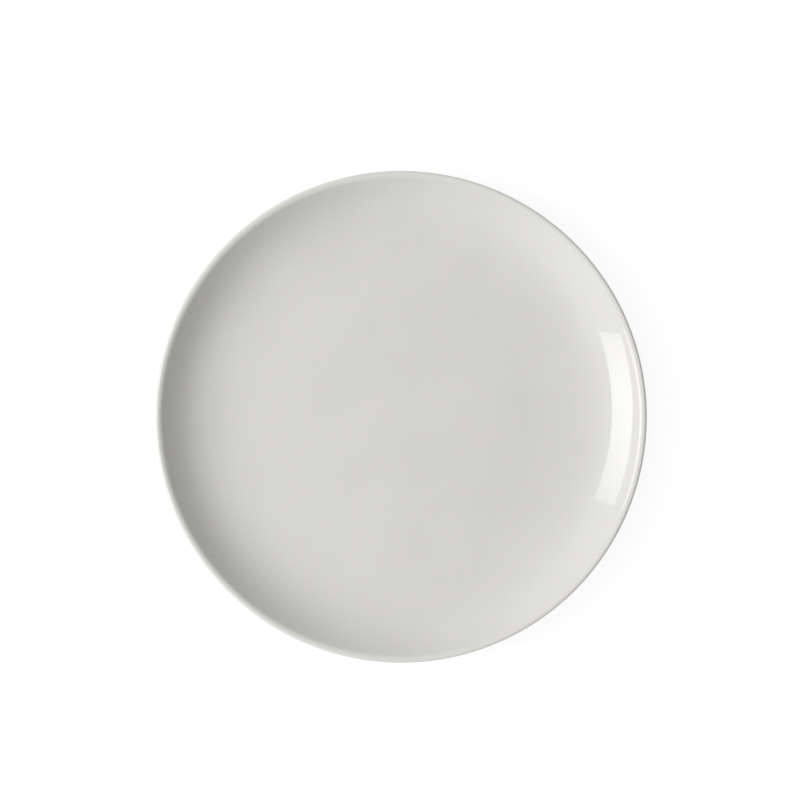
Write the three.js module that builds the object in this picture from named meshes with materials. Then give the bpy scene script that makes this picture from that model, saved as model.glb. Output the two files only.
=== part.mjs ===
// A round coupe plate in glazed porcelain. Millimetres, +Z up, with the origin at the centre of the
// circle that the foot ring stands on.
//
// The plate is one turned clay body under two coats of glaze. The outer coat starts in the middle of
// the face, goes over the lip and comes down the back to the foot ring. The base coat lines the recess
// inside the foot ring. The edge between them, on which the plate stands, is left bare.
import * as THREE from "three";

// Finished plate, over the glaze
const plateDiameter = 270;
const plateHeight = 22.6;
const glazeThickness = 0.35; // from the clay out to the gloss
const glazeGap = 0.02; // clearance between the clay and the glaze

// Lip, 4.5 mm across, rolled over from the face to a tighter outer edge
const lipFaceRadius = 3.9;
const lipEdgeRadius = 1.4;
const lipBackRadius = 4.67;

// Wall of the clay body
const wallReach = 41; // from the outside of the plate in to the lowest ring of the face
const wallThickness = 4.5; // at the lowest ring
const wallSlope = THREE.MathUtils.degToRad(44); // of both sides, where they meet the lip
const wallPull = 12.6; // how far the face holds that slope below the lip
const shoulderPull = 21; // how far the face stays level past the lowest ring
const backSpread = 1; // the back turns wider than the face, so it holds its ends this much further

// Floor inside the lowest ring
const floorThickness = 4.9; // from the edge of the recess up to the lowest ring
const crownReach = 48; // from the lowest ring in to the flat middle of the crown
const crownHeight = 1; // the crown stands this much above the lowest ring
const crownPull = 24; // how far the crown stays level past its flat middle
const wellPull = 24; // how far the floor stays level before the lowest ring

// Foot ring and the recess inside it
const footInset = 15; // from the lowest ring in to the outer edge of the foot, on the table
const footWidth = 5.4; // across the foot, on the table
const footDraft = THREE.MathUtils.degToRad(12); // lean of both sides of the foot
const footEdgeRadius = 1;
const footFillet = 2;
const recessHeight = 3.2; // from the table to the edge of the recess
const recessDome = 1; // the middle of the recess is this much higher
const recessPull = 24; // how far the recess stays level from its edge
const glazeSetback = 0.45; // the glaze stops this far up from the rounded edge of the foot

// Facets
const turnSegments = 64;
const sweepSteps = 6; // along a long curve of the section
const crownSteps = 3;
const arcTurn = THREE.MathUtils.degToRad(40); // largest turn between two facets of a round

const at = (radius, height) => new THREE.Vector2(radius, height);
const along = (angle, length) => at(length * Math.cos(angle), length * Math.sin(angle));
const straight = (from, to) => ({ curve: new THREE.LineCurve(from, to), steps: 1 });

// A smooth sweep between two points, leaving the first and reaching the second along given directions.
function sweep(from, leaving, to, arriving, steps) {
  const firstHandle = from.clone().add(leaving);
  const lastHandle = to.clone().sub(arriving);
  return { curve: new THREE.CubicBezierCurve(from, firstHandle, lastHandle, to), steps };
}

// A stretch of a circle.
function round(centre, radius, startAngle, endAngle, clockwise) {
  const curve = new THREE.EllipseCurve(centre.x, centre.y, radius, radius, startAngle, endAngle, clockwise);
  return { curve, steps: Math.ceil(curve.getLength() / radius / arcTurn) };
}

// A round in the corner between two straight lines, with the points where it leaves each of them.
function roundCorner(before, corner, after, radius) {
  const arriving = before.clone().sub(corner).normalize();
  const leaving = after.clone().sub(corner).normalize();
  const halfAngle = Math.acos(arriving.dot(leaving)) / 2;
  const reach = radius / Math.tan(halfAngle);
  const start = corner.clone().addScaledVector(arriving, reach);
  const end = corner.clone().addScaledVector(leaving, reach);
  const bisector = arriving.clone().add(leaving).normalize();
  const centre = corner.clone().addScaledVector(bisector, radius / Math.sin(halfAngle));
  const startAngle = start.clone().sub(centre).angle();
  const endAngle = end.clone().sub(centre).angle();
  const clockwise = arriving.cross(leaving) > 0;
  return { ...round(centre, radius, startAngle, endAngle, clockwise), start, end };
}

// The points of a stretch of the section, each with the direction that points out of the clay.
function trace(stretch) {
  return stretch.flatMap(({ curve, steps }, index) => {
    const points = curve.getPoints(steps).map((point, step) => {
      const tangent = curve.getTangent(step / steps);
      return { point, outward: at(-tangent.y, tangent.x) };
    });
    return index === 0 ? points : points.slice(1);
  });
}

// The same stretch, moved out from the clay by a distance.
function offset(stretch, distance) {
  return stretch.map(({ point, outward }) => point.clone().addScaledVector(outward, distance));
}

const claySurface = (stretch) => offset(stretch, 0);
const glazeInside = (stretch) => offset(stretch, glazeGap);
const glazeOutside = (stretch) => offset(stretch, glazeThickness);

// Lip, from the face over the top and the outermost point to the back
const lipEdge = at(plateDiameter / 2 - lipEdgeRadius, plateHeight - lipEdgeRadius);
const lipRoll = at(lipEdge.x, plateHeight - lipFaceRadius);
const lipUnder = at(plateDiameter / 2 - lipBackRadius, lipEdge.y);
const faceAngle = wallSlope + Math.PI / 2;
const backAngle = wallSlope - Math.PI / 2;
const faceTop = lipRoll.clone().add(along(faceAngle, lipFaceRadius - glazeThickness));
const backTop = lipUnder.clone().add(along(backAngle, lipBackRadius - glazeThickness));
const lip = [
  round(lipRoll, lipFaceRadius - glazeThickness, faceAngle, Math.PI / 2, true),
  round(lipEdge, lipEdgeRadius - glazeThickness, Math.PI / 2, 0, true),
  round(lipUnder, lipBackRadius - glazeThickness, 0, backAngle, true),
];

// Face, from the middle of the floor to the lip
const lowestRing = at(plateDiameter / 2 - wallReach, recessHeight + floorThickness);
const crownEdge = lowestRing.clone().add(at(-crownReach, crownHeight));
const crownMiddle = at(0, crownEdge.y);
const faceRise = along(wallSlope, wallPull);
const face = [
  straight(crownMiddle, crownEdge),
  sweep(crownEdge, at(crownPull, 0), lowestRing, at(wellPull, 0), crownSteps),
  sweep(lowestRing, at(shoulderPull, 0), faceTop, faceRise, sweepSteps),
];

// Back, from the lip in to the level stretch round the foot ring
const backEdge = lowestRing.clone().sub(at(0, wallThickness));
const backFall = along(wallSlope, -wallPull - backSpread);
const backLevel = at(-shoulderPull - backSpread, 0);
const back = sweep(backTop, backFall, backEdge, backLevel, sweepSteps);

// Foot ring, down its outer side, across the standing edge and up into the recess
const outerEdge = at(lowestRing.x - footInset, 0);
const outerTop = at(outerEdge.x + backEdge.y * Math.tan(footDraft), backEdge.y);
const innerEdge = at(outerEdge.x - footWidth, 0);
const innerTop = at(innerEdge.x - recessHeight * Math.tan(footDraft), recessHeight);
const recessMiddle = at(0, recessHeight + recessDome);
const recessLevel = at(0, recessHeight);
const outerFillet = roundCorner(backEdge, outerTop, outerEdge, footFillet);
const outerRound = roundCorner(outerTop, outerEdge, innerEdge, footEdgeRadius);
const innerRound = roundCorner(outerEdge, innerEdge, innerTop, footEdgeRadius);
const innerFillet = roundCorner(innerEdge, innerTop, recessLevel, footFillet);
const outerSide = outerTop.clone().sub(outerEdge).setLength(glazeSetback);
const innerSide = innerTop.clone().sub(innerEdge).setLength(glazeSetback);
const outerGlazeLine = outerRound.start.clone().add(outerSide);
const innerGlazeLine = innerRound.end.clone().add(innerSide);

const coatedOutside = trace([
  ...face,
  ...lip,
  back,
  straight(backEdge, outerFillet.start),
  outerFillet,
  straight(outerFillet.end, outerGlazeLine),
]);
const bareFoot = trace([
  straight(outerGlazeLine, outerRound.start),
  outerRound,
  straight(outerRound.end, innerRound.start),
  innerRound,
  straight(innerRound.end, innerGlazeLine),
]);
const coatedRecess = trace([
  straight(innerGlazeLine, innerFillet.start),
  innerFillet,
  sweep(innerFillet.end, at(-recessPull, 0), recessMiddle, at(-recessPull, 0), crownSteps),
]);

// A profile runs from the top of the axis, with the air on its left, back to the axis.
function turned(name, profile, material) {
  const upwards = [...profile].reverse();
  const geometry = new THREE.LatheGeometry(upwards, turnSegments).rotateX(Math.PI / 2);
  const mesh = new THREE.Mesh(geometry, material);
  mesh.name = name;
  return mesh;
}

// The clay is one outline from the middle of the face round to the middle of the recess.
function makePlateBody() {
  const profile = [
    ...claySurface(coatedOutside),
    ...claySurface(bareFoot).slice(1, -1),
    ...claySurface(coatedRecess),
  ];
  const bareClay = new THREE.MeshStandardMaterial({ color: 0xe2ddd2, roughness: 0.85, metalness: 0 });
  return turned("plate_body", profile, bareClay);
}

// A coat of glaze fills the space between the clay that it covers and its own glossy surface.
function makeGlaze(name, profile) {
  const ivoryGlaze = new THREE.MeshStandardMaterial({ color: 0xdcdbd5, roughness: 0.12, metalness: 0 });
  return turned(name, profile, ivoryGlaze);
}

function makeOuterGlaze() {
  return makeGlaze("outer_glaze", [...glazeOutside(coatedOutside), ...glazeInside(coatedOutside).reverse()]);
}

function makeBaseGlaze() {
  return makeGlaze("base_glaze", [...glazeInside(coatedRecess).reverse(), ...glazeOutside(coatedRecess)]);
}

const plate = new THREE.Group();
plate.add(makePlateBody(), makeOuterGlaze(), makeBaseGlaze());

export default plate;
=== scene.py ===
import math

import bmesh
import bpy
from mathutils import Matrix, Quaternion, Vector
from mathutils.geometry import interpolate_bezier


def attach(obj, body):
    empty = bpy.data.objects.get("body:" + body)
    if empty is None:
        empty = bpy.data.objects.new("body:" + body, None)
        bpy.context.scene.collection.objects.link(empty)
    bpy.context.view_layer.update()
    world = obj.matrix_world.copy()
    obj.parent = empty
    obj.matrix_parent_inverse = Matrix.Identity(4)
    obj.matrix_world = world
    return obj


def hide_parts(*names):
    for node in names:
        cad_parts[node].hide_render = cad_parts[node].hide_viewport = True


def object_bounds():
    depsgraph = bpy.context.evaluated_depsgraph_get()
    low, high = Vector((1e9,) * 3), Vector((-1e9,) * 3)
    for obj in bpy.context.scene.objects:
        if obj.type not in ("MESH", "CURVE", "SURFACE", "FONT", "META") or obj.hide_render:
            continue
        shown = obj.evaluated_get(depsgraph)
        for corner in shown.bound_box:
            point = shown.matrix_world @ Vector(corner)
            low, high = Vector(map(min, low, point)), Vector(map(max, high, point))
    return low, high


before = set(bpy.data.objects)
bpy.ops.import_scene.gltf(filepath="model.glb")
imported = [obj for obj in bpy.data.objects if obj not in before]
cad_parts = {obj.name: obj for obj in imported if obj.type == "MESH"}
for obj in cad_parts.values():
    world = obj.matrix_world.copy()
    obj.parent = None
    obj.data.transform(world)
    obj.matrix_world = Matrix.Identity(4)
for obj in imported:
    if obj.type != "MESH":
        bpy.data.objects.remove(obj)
cadLow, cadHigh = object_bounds()
print("frame loaded, plate", [round(side * 1000, 2) for side in cadHigh - cadLow], "mm")

mm = 0.001


# A colour as shaders take it, from its sRGB hex value.
def linear(hexColour):
    channels = [int(hexColour[i:i + 2], 16) / 255 for i in (1, 3, 5)]
    return [c / 12.92 if c <= 0.04045 else ((c + 0.055) / 1.055) ** 2.4 for c in channels] + [1]


# Adds a node with its settings, socket values and links, and gives back the output that is asked for.
def addNode(tree, kind, output, values={}, links={}, **settings):
    node = tree.nodes.new("ShaderNode" + kind)
    for name, value in settings.items():
        setattr(node, name, value)
    sockets = {socket.name: socket for socket in node.inputs if socket.enabled}
    sockets.update(enumerate(node.inputs))
    for name, value in values.items():
        sockets[name].default_value = value
    for name, source in links.items():
        tree.links.new(source, sockets[name])
    return next((socket for socket in node.outputs if socket.enabled and socket.name == output), None)


def newMaterial(name):
    material = bpy.data.materials.new(name)
    material.use_nodes = True
    material.node_tree.nodes.clear()
    return material, material.node_tree


def finishPiece(bm, name, material, node):
    for face in bm.faces:
        face.smooth = True
    mesh = bpy.data.meshes.new(name)
    bm.to_mesh(mesh)
    bm.free()
    mesh.materials.append(material)
    piece = bpy.data.objects.new(name, mesh)
    bpy.context.scene.collection.objects.link(piece)
    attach(piece, "root")
    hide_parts(node)
    print("made", name, len(mesh.polygons), "faces")


# The turned section, in millimetres. Its radius and height come from the frame.
plate = {
    "radius": cadHigh.x / mm,
    "height": cadHigh.z / mm,
    "lipFaceRadius": 3.9,  # the lip rolls over from the face
    "lipEdgeRadius": 1.4,  # to a tighter outer edge
    "lipBackRadius": 4.67,  # and on into the back
    "glazeThickness": 0.35,
    "wallReach": 41,  # outside of the plate in to the lowest ring of the face
    "wallThickness": 4.5,
    "wallSlope": math.radians(44),  # where the face and the back meet the lip
    "wallPull": 12.6,  # how far the face holds that slope
    "shoulderPull": 21,  # how far it stays level past the lowest ring
    "backSpread": 1,  # the back holds both this much further
    "floorLevel": 8.1,  # height of the lowest ring
    "crownReach": 48,  # lowest ring in to the flat middle of the floor
    "crownHeight": 1,
    "crownPull": 24,
    "wellPull": 24,
    "footInset": 15,  # lowest ring in to the outer edge of the foot
    "footWidth": 5.4,
    "footLean": math.tan(math.radians(12)),
    "footEdge": 1,
    "footFillet": 2,
    "recessHeight": 3.2,
    "recessDome": 1,
    "recessPull": 24,
    "turnSteps": 192,
    "wallSteps": 40,
    "floorSteps": 20,
    "lipSteps": 10,
    "roundSteps": 6,
    "ringReach": 0.01,  # vertices this close to a ring are on it
    "weld": 0.001,  # vertices this close to each other are one
}


# Carries the section on from its last vertex to the next ones.
def drawTo(bm, last, points):
    for radius, height in points:
        vert = bm.verts.new((radius * mm, 0, height * mm))
        bm.edges.new((last, vert))
        last = vert
    return last


# Carries it on along a smooth sweep, by the directions in which that leaves and arrives.
def sweepTo(bm, last, leaving, end, arriving, steps):
    start = Vector((last.co.x, last.co.z)) / mm
    end = Vector(end)
    curve = interpolate_bezier(start, start + Vector(leaving), end - Vector(arriving), end, steps + 1)
    return drawTo(bm, last, [(point.x, point.y) for point in curve[1:]])


# Rolls it clockwise round a centre, through an angle.
def rollTo(bm, last, centre, angle):
    rolled = bmesh.ops.spin(bm, geom=[last], cent=(centre.x * mm, 0, centre.y * mm), axis=(0, 1, 0),
                            angle=angle, steps=plate["lipSteps"])
    return rolled["geom_last"][0]


# The edges of the ring at one radius and height.
def ringEdges(bm, radius, height):
    def onRing(vert):
        aside = abs(vert.co.xy.length - radius * mm)
        above = abs(vert.co.z - height * mm)
        return max(aside, above) < plate["ringReach"] * mm

    return [edge for edge in bm.edges if all(onRing(vert) for vert in edge.verts)]


def roundRing(bm, radius, height, size):
    bmesh.ops.bevel(bm, geom=ringEdges(bm, radius, height), affect="EDGES", offset=size * mm,
                    offset_type="WIDTH", segments=plate["roundSteps"], profile=0.5, material=-1,
                    clamp_overlap=False)


# The clay, turned in one piece: face, lip, back, foot ring and recess.
def turnClay():
    p = plate
    lipEdge = Vector((p["radius"] - p["lipEdgeRadius"], p["height"] - p["lipEdgeRadius"]))
    lipRoll = Vector((lipEdge.x, p["height"] - p["lipFaceRadius"]))
    lipUnder = Vector((p["radius"] - p["lipBackRadius"], lipEdge.y))
    slope = Vector((math.cos(p["wallSlope"]), math.sin(p["wallSlope"])))
    acrossWall = Vector((-slope.y, slope.x)) * (p["lipFaceRadius"] - p["glazeThickness"])
    lowestRing = Vector((p["radius"] - p["wallReach"], p["floorLevel"]))
    crownEdge = lowestRing + Vector((-p["crownReach"], p["crownHeight"]))
    backEdge = lowestRing - Vector((0, p["wallThickness"]))
    backPull = p["wallPull"] + p["backSpread"]
    backLevel = p["shoulderPull"] + p["backSpread"]
    footOuter = lowestRing.x - p["footInset"]
    footInner = footOuter - p["footWidth"]
    footTop = footOuter + backEdge.y * p["footLean"]
    recessEdge = footInner - p["recessHeight"] * p["footLean"]
    recessMiddle = (0, p["recessHeight"] + p["recessDome"])
    footCorners = [(footTop, backEdge.y), (footOuter, 0), (footInner, 0), (recessEdge, p["recessHeight"])]
    footRounds = [p["footFillet"], p["footEdge"], p["footEdge"], p["footFillet"]]

    bm = bmesh.new()
    last = bm.verts.new((0, 0, crownEdge.y * mm))
    last = drawTo(bm, last, [crownEdge])
    last = sweepTo(bm, last, (p["crownPull"], 0), lowestRing, (p["wellPull"], 0), p["floorSteps"])
    last = sweepTo(bm, last, (p["shoulderPull"], 0), lipRoll + acrossWall, slope * p["wallPull"],
                   p["wallSteps"])
    last = rollTo(bm, last, lipRoll, p["wallSlope"])
    last = rollTo(bm, last, lipEdge, math.pi / 2)
    last = rollTo(bm, last, lipUnder, math.pi / 2 - p["wallSlope"])
    last = sweepTo(bm, last, slope * -backPull, backEdge, (-backLevel, 0), p["wallSteps"])
    last = drawTo(bm, last, footCorners)
    sweepTo(bm, last, (-p["recessPull"], 0), recessMiddle, (-p["recessPull"], 0), p["floorSteps"])

    bmesh.ops.spin(bm, geom=bm.verts[:] + bm.edges[:], cent=(0, 0, 0), axis=(0, 0, 1),
                   angle=2 * math.pi, steps=p["turnSteps"], use_merge=True)
    bmesh.ops.remove_doubles(bm, verts=bm.verts, dist=p["weld"] * mm)
    for (radius, height), size in zip(footCorners, footRounds):
        roundRing(bm, radius, height, size)
    bmesh.ops.recalc_face_normals(bm, faces=bm.faces)
    return bm, (footOuter + footInner) / 2


clay, footMiddle = turnClay()
print("clay turned,", len(clay.faces), "faces, standing circle", round(2 * footMiddle, 1), "mm across")

coat = {
    "gap": 0.02,  # between the clay and the glaze
    "line": 1.23,  # the glaze stops at this height on both sides of the foot
    "sharp": math.radians(60),  # the cut edges at that line turn by more than this
    "edgeRound": 0.2,  # the fired edge of the glaze draws itself round
    "edgeSteps": 4,
}


# Takes a coat of glaze off the clay: what lies above the glaze line, inside the foot ring or outside it.
def liftCoat(insideFoot):
    bm = clay.copy()
    bmesh.ops.bisect_plane(bm, geom=bm.verts[:] + bm.edges[:] + bm.faces[:], dist=plate["weld"] * mm,
                           plane_co=(0, 0, coat["line"] * mm), plane_no=(0, 0, 1), clear_inner=True)
    floorMiddle = (plate["recessHeight"] + plate["floorLevel"]) / 2 * mm

    def inRecess(face):
        centre = face.calc_center_median()
        return centre.xy.length < footMiddle * mm and centre.z < floorMiddle

    elsewhere = [face for face in bm.faces if inRecess(face) != insideFoot]
    bmesh.ops.delete(bm, geom=elsewhere, context="FACES")
    bm.normal_update()
    for vert in bm.verts:
        vert.co += vert.normal * plate["glazeThickness"] * mm
    bmesh.ops.solidify(bm, geom=bm.faces[:], thickness=(plate["glazeThickness"] - coat["gap"]) * mm)

    # Of the two cut edges, the glossy one is further from the foot.
    cutEdges = [edge for edge in bm.edges if edge.calc_face_angle() > coat["sharp"]]
    fromFoot = {edge: abs(edge.verts[0].co.xy.length - footMiddle * mm) for edge in cutEdges}
    halfway = (min(fromFoot.values()) + max(fromFoot.values())) / 2
    glossEdge = [edge for edge in cutEdges if fromFoot[edge] > halfway]
    bmesh.ops.bevel(bm, geom=glossEdge, affect="EDGES", offset=coat["edgeRound"] * mm,
                    offset_type="OFFSET", segments=coat["edgeSteps"], profile=0.5, material=-1,
                    clamp_overlap=True)
    return bm


# Sizes in millimetres. A range of noise is where its pattern begins and where it is full.
glaze = {
    "colour": "#DCDBD6",
    "cloud": "#DAD9D4",  # where the glaze lies a little thicker
    "cloudSize": 38,
    "cloudNoise": (0.4, 0.64),
    "thin": "#DFDED9",  # over the lip, where it runs thin on the white clay
    "thinReach": (4, 1.5),  # from the outside of the plate, where that begins and where it is full
    "thinShare": 0.8,
    "pool": "#CFCFC5",  # in the corners of the foot ring, where it gathers
    "poolReach": (9, 4),  # from the middle of the foot
    "poolHeight": (6, 4.5),  # kept off the face above it
    "speck": "#A9A08E",
    "speckSize": 1,  # real specks are half this, too fine for the render
    "speckSpacing": 15,
    "speckChance": (0.7, 1),
    "speckShare": 0.5,
    "rippleSize": 9,
    "rippleHeight": 0.006,
    "roughness": (0.03, 0.055),
    "roughNoise": (0.35, 0.65),
}


# Glassy ivory glaze on porcelain, fired to a mirror gloss: crisp reflections, a warm white with faint
# clouds, a few iron specks, paler where it thins over the lip and greyer where it gathers round the foot.
def ivoryGlaze():
    material, tree = newMaterial("glazed porcelain")
    place = addNode(tree, "TexCoord", "Object")
    flat = addNode(tree, "VectorMath", "Vector", {1: (1, 1, 0)}, {0: place}, operation="MULTIPLY")
    radius = addNode(tree, "VectorMath", "Value", {}, {0: flat}, operation="LENGTH")
    height = addNode(tree, "SeparateXYZ", "Z", {}, {0: place})

    clouds = addNode(tree, "TexNoise", "Fac", {"Scale": 1 / (glaze["cloudSize"] * mm), "Detail": 3},
                     {"Vector": place})
    begins, full = glaze["cloudNoise"]
    cloudy = addNode(tree, "MapRange", "Result", {"From Min": begins, "From Max": full}, {"Value": clouds})
    colour = addNode(tree, "Mix", "Result", {"A": linear(glaze["colour"]), "B": linear(glaze["cloud"])},
                     {"Factor": cloudy}, data_type="RGBA")

    begins, full = ((plate["radius"] - reach) * mm for reach in glaze["thinReach"])
    thin = addNode(tree, "MapRange", "Result",
                   {"From Min": begins, "From Max": full, "To Max": glaze["thinShare"]},
                   {"Value": radius}, interpolation_type="SMOOTHSTEP")
    colour = addNode(tree, "Mix", "Result", {"B": linear(glaze["thin"])},
                     {"Factor": thin, "A": colour}, data_type="RGBA")

    fromFoot = addNode(tree, "Math", "Value", {1: footMiddle * mm}, {0: radius}, operation="SUBTRACT")
    fromFoot = addNode(tree, "Math", "Value", {}, {0: fromFoot}, operation="ABSOLUTE")
    begins, full = (reach * mm for reach in glaze["poolReach"])
    nearFoot = addNode(tree, "MapRange", "Result",
                       {"From Min": full, "From Max": begins, "To Min": 1, "To Max": 0},
                       {"Value": fromFoot}, interpolation_type="SMOOTHSTEP")
    begins, full = (level * mm for level in glaze["poolHeight"])
    under = addNode(tree, "MapRange", "Result",
                    {"From Min": full, "From Max": begins, "To Min": 1, "To Max": 0}, {"Value": height})
    pool = addNode(tree, "Math", "Value", {}, {0: nearFoot, 1: under}, operation="MULTIPLY")
    colour = addNode(tree, "Mix", "Result", {"B": linear(glaze["pool"])},
                     {"Factor": pool, "A": colour}, data_type="RGBA")

    toSpeck = addNode(tree, "TexVoronoi", "Distance", {"Scale": 1 / (glaze["speckSpacing"] * mm)},
                      {"Vector": place}, voronoi_dimensions="2D")
    chance = toSpeck.node.outputs["Color"]
    begins, full = glaze["speckChance"]
    strength = addNode(tree, "MapRange", "Result",
                       {"From Min": begins, "From Max": full, "To Max": glaze["speckShare"]},
                       {"Value": chance})
    speckEdge = glaze["speckSize"] / glaze["speckSpacing"] / 2
    speckCore = speckEdge / 3
    speck = addNode(tree, "MapRange", "Result", {"From Min": speckEdge, "From Max": speckCore},
                    {"Value": toSpeck})
    speck = addNode(tree, "Math", "Value", {}, {0: speck, 1: strength}, operation="MULTIPLY")
    colour = addNode(tree, "Mix", "Result", {"B": linear(glaze["speck"])},
                     {"Factor": speck, "A": colour}, data_type="RGBA")

    ripple = addNode(tree, "TexNoise", "Fac", {"Scale": 1 / (glaze["rippleSize"] * mm), "Detail": 1},
                     {"Vector": place})
    relief = addNode(tree, "Bump", "Normal", {"Strength": 1, "Distance": glaze["rippleHeight"] * mm},
                     {"Height": ripple})
    begins, full = glaze["roughNoise"]
    smooth, dull = glaze["roughness"]
    roughness = addNode(tree, "MapRange", "Result",
                        {"From Min": begins, "From Max": full, "To Min": smooth, "To Max": dull},
                        {"Value": clouds})
    glossy = addNode(tree, "BsdfPrincipled", "BSDF", {"IOR": 1.5},
                     {"Base Color": colour, "Roughness": roughness, "Normal": relief})
    addNode(tree, "OutputMaterial", None, {}, {"Surface": glossy})
    return material


bareFoot = {
    "colour": "#E2DDD2",
    "grain": "#D4CCBD",
    "grainSize": 1.1,  # real grain is a tenth of this, too fine for the render
    "grainHeight": 0.03,
    "rub": "#B7AFA2",  # grey rubbing from shelves, on the standing edge
    "rubSize": 9,
    "rubNoise": (0.48, 0.7),
    "rubShare": 0.55,
    "rubHeight": 0.25,
    "roughness": (0.7, 0.9),
}


# Bare fired porcelain: dry, matt and finely grained, warmer than the glaze, with grey rubs where it stands.
def firedClay():
    material, tree = newMaterial("bare fired porcelain")
    place = addNode(tree, "TexCoord", "Object")
    height = addNode(tree, "SeparateXYZ", "Z", {}, {0: place})
    grain = addNode(tree, "TexNoise", "Fac", {"Scale": 1 / (bareFoot["grainSize"] * mm), "Detail": 4},
                    {"Vector": place})
    colour = addNode(tree, "Mix", "Result",
                     {"A": linear(bareFoot["colour"]), "B": linear(bareFoot["grain"])},
                     {"Factor": grain}, data_type="RGBA")

    rubs = addNode(tree, "TexNoise", "Fac", {"Scale": 1 / (bareFoot["rubSize"] * mm), "Detail": 5},
                   {"Vector": place})
    begins, full = bareFoot["rubNoise"]
    rubs = addNode(tree, "MapRange", "Result",
                   {"From Min": begins, "From Max": full, "To Max": bareFoot["rubShare"]},
                   {"Value": rubs})
    standing = addNode(tree, "MapRange", "Result",
                       {"From Min": 0, "From Max": bareFoot["rubHeight"] * mm, "To Min": 1, "To Max": 0},
                       {"Value": height})
    rubbed = addNode(tree, "Math", "Value", {}, {0: rubs, 1: standing}, operation="MULTIPLY")
    colour = addNode(tree, "Mix", "Result", {"B": linear(bareFoot["rub"])},
                     {"Factor": rubbed, "A": colour}, data_type="RGBA")

    relief = addNode(tree, "Bump", "Normal", {"Strength": 1, "Distance": bareFoot["grainHeight"] * mm},
                     {"Height": grain})
    worn, dry = bareFoot["roughness"]
    roughness = addNode(tree, "MapRange", "Result", {"To Min": dry, "To Max": worn}, {"Value": rubbed})
    matt = addNode(tree, "BsdfPrincipled", "BSDF", {"IOR": 1.5},
                   {"Base Color": colour, "Roughness": roughness, "Normal": relief})
    addNode(tree, "OutputMaterial", None, {}, {"Surface": matt})
    return material


gloss = ivoryGlaze()
finishPiece(liftCoat(False), "outerGlaze", gloss, "outer_glaze")
finishPiece(liftCoat(True), "baseGlaze", gloss, "base_glaze")
finishPiece(clay, "plateBody", firedClay(), "plate_body")

table = {
    "size": 40,  # metres, so that a low view still ends on it
    "colour": "#C9C9C7",
    "seen": "#7A7A7A",  # what its own shade adds to the white that the camera sees
    "glow": 0.87,
}


# A plain white table. The camera and reflections see it as white paper that still takes the plate's shadow.
def whiteTable():
    material, tree = newMaterial("white paper table")
    camera = addNode(tree, "LightPath", "Is Camera Ray")
    glossy, through = (camera.node.outputs[ray] for ray in ("Is Glossy Ray", "Is Transmission Ray"))
    watched = addNode(tree, "Math", "Value", {}, {0: camera, 1: glossy}, operation="MAXIMUM")
    watched = addNode(tree, "Math", "Value", {}, {0: watched, 1: through}, operation="MAXIMUM")
    paper = addNode(tree, "BsdfDiffuse", "BSDF", {"Color": linear(table["colour"])})
    shade = addNode(tree, "BsdfDiffuse", "BSDF", {"Color": linear(table["seen"])})
    white = addNode(tree, "Emission", "Emission", {"Strength": table["glow"]})
    shown = addNode(tree, "AddShader", "Shader", {}, {0: shade, 1: white})
    surface = addNode(tree, "MixShader", "Shader", {}, {0: watched, 1: paper, 2: shown})
    addNode(tree, "OutputMaterial", None, {}, {"Surface": surface})

    bm = bmesh.new()
    bmesh.ops.create_grid(bm, x_segments=1, y_segments=1, size=table["size"] / 2)
    mesh = bpy.data.meshes.new("table")
    bm.to_mesh(mesh)
    bm.free()
    mesh.materials.append(material)
    floor = bpy.data.objects.new("table", mesh)
    bpy.context.scene.collection.objects.link(floor)


whiteTable()
print("table laid")

# Metres and degrees
softbox = {
    "angle": 184.8,  # round from +X, so it stands on the photograph's left
    "elevation": 37.7,
    "distance": 3,
    "size": (2.17, 2.37),
    "turn": -34,  # it faces a little past the plate
    "tip": 27.3,
    "roll": -20,
    "radiance": 4.6,  # in its middle
    "fade": 0.55,  # share of that lost towards its left and right ends
}


# One large softbox on the left, brighter in the middle of its cloth.
def hangSoftbox():
    light = bpy.data.lights.new("softbox", "AREA")
    light.shape = "RECTANGLE"
    light.size, light.size_y = softbox["size"]
    light.energy = softbox["radiance"] * math.pi * light.size * light.size_y
    light.use_nodes = True
    tree = light.node_tree
    tree.nodes.clear()
    spot = addNode(tree, "NewGeometry", "Parametric")
    across = addNode(tree, "SeparateXYZ", "X", {}, {0: spot})
    aside = addNode(tree, "MapRange", "Result", {"To Min": -1, "To Max": 1}, {"Value": across})
    aside = addNode(tree, "Math", "Value", {}, {0: aside, 1: aside}, operation="MULTIPLY")
    glow = addNode(tree, "Math", "Value", {1: -softbox["fade"], 2: 1}, {0: aside}, operation="MULTIPLY_ADD")
    cloth = addNode(tree, "Emission", "Emission", {"Color": (1, 1, 1, 1)}, {"Strength": glow})
    addNode(tree, "OutputLight", None, {}, {"Surface": cloth})

    angle, elevation = math.radians(softbox["angle"]), math.radians(softbox["elevation"])
    out, up = math.cos(elevation), math.sin(elevation)
    place = Vector((out * math.cos(angle), out * math.sin(angle), up))
    lamp = bpy.data.objects.new("softbox", light)
    lamp.location = place * softbox["distance"]
    aim = (-place).to_track_quat("-Z", "Y")
    for axis, name in (((0, 1, 0), "turn"), ((1, 0, 0), "tip"), ((0, 0, 1), "roll")):
        aim = aim @ Quaternion(axis, math.radians(softbox[name]))
    lamp.rotation_euler = aim.to_euler()
    lamp.visible_camera = False
    bpy.context.scene.collection.objects.link(lamp)


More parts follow.
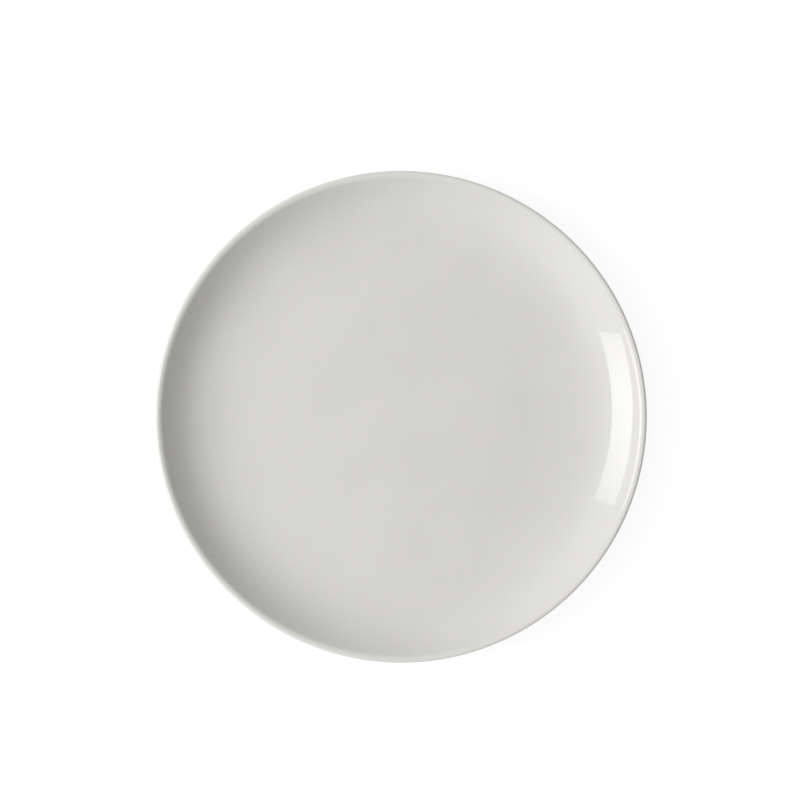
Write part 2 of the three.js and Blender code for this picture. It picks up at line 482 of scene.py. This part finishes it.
dome = {
    "tilt": (-0.42, -0.05, 0.9),  # brighter overhead and on the softbox's side
    "sides": 0.92,  # and along the two sides beside it
    "cut": 0.19,  # less this all over, so opposite the softbox it ends well above the table
}


# A soft white dome overhead, which fills the shadows.
def raiseDome():
    world = bpy.data.worlds.new("studio dome")
    bpy.context.scene.world = world
    world.use_nodes = True
    tree = world.node_tree
    tree.nodes.clear()
    way = addNode(tree, "TexCoord", "Generated")
    tilt = addNode(tree, "VectorMath", "Value", {1: dome["tilt"]}, {0: way}, operation="DOT_PRODUCT")
    sideways = addNode(tree, "SeparateXYZ", "Y", {}, {0: way})
    sides = addNode(tree, "Math", "Value", {}, {0: sideways, 1: sideways}, operation="MULTIPLY")
    level = addNode(tree, "Math", "Value", {1: dome["sides"]}, {0: sides, 2: tilt},
                    operation="MULTIPLY_ADD")
    level = addNode(tree, "Math", "Value", {1: dome["cut"]}, {0: level}, operation="SUBTRACT")
    level = addNode(tree, "Math", "Value", {1: 0}, {0: level}, operation="MAXIMUM")
    sky = addNode(tree, "Background", "Background", {"Color": (1, 1, 1, 1)}, {"Strength": level})
    addNode(tree, "OutputWorld", None, {}, {"Surface": sky})


hangSoftbox()
raiseDome()
bpy.context.scene.view_settings.view_transform = "Standard"
print("studio lit")

view = {
    "lens": 100,
    "sensor": 36,
    "frame": 800,  # pixels across the picture
    "rim": 245.9,  # the plate's radius in the picture, in pixels
    "middle": (400.95, 416.85),  # its centre, in pixels from the top left
}


# Straight down on the plate, far enough for its widest ring to have its size in the picture.
def aimCamera():
    camera = bpy.data.objects.new("camera", bpy.data.cameras.new("camera"))
    camera.data.lens, camera.data.sensor_width = view["lens"], view["sensor"]
    metresPerPixel = plate["radius"] * mm / view["rim"]
    distance = view["frame"] * metresPerPixel * view["lens"] / view["sensor"]
    widest = (plate["height"] - plate["lipEdgeRadius"]) * mm
    across, down = (place - view["frame"] / 2 for place in view["middle"])
    camera.location = (-across * metresPerPixel, down * metresPerPixel, widest + distance)
    bpy.context.scene.collection.objects.link(camera)
    bpy.context.scene.camera = camera


aimCamera()
print("camera aimed")
